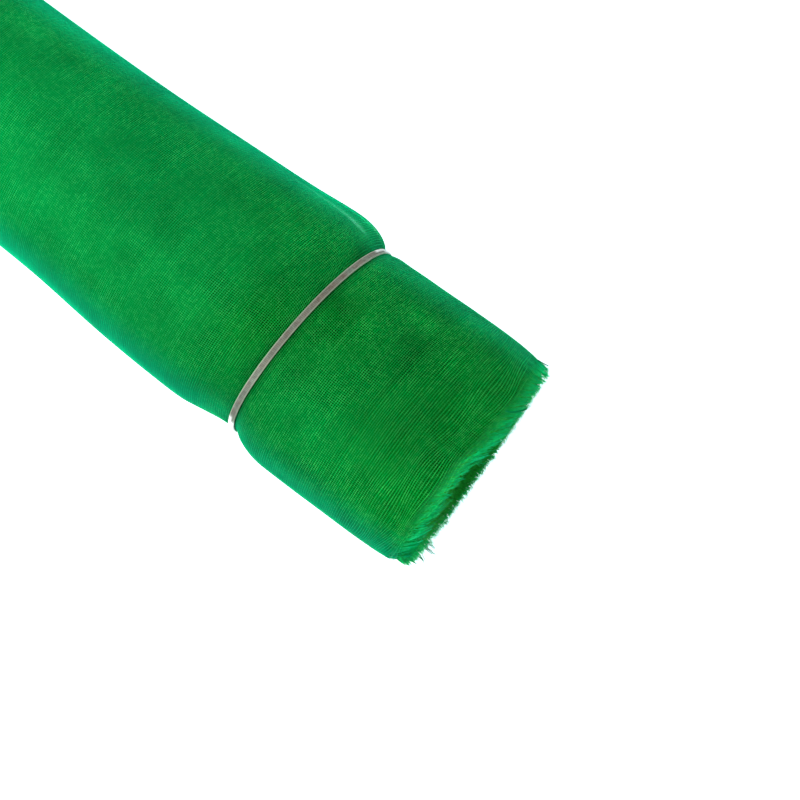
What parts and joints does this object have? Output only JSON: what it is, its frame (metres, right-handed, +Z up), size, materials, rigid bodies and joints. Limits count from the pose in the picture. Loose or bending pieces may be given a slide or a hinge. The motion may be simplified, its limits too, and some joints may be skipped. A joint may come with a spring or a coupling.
{
  "type": "mosquito mesh roll",
  "caption": "Coreless roll of fine green woven plastic mosquito mesh, pinched by a flat elastic band, with loose thread ends fringing its cut end.",
  "frame": {"origin": "centre of the underside of the whole roll, on the surface that it lies on", "axes": "+X along the roll towards its frayed end, +Y to the side away from the viewer, +Z up"},
  "size_m": [0.9992, 0.1644, 0.1211],
  "materials": {
    "mesh": "fine plain weave of saturated green plastic thread, slightly glossy, paler and see-through where one layer stands off",
    "elastic": "matt grey-beige flat elastic, slightly ribbed along its length",
    "threads": "loose translucent green plastic thread ends"
  },
  "bodies": {
    "root": {"mesh_roll": "mesh", "band": "elastic", "end_fray": "threads"}
  },
  "joints": []
}
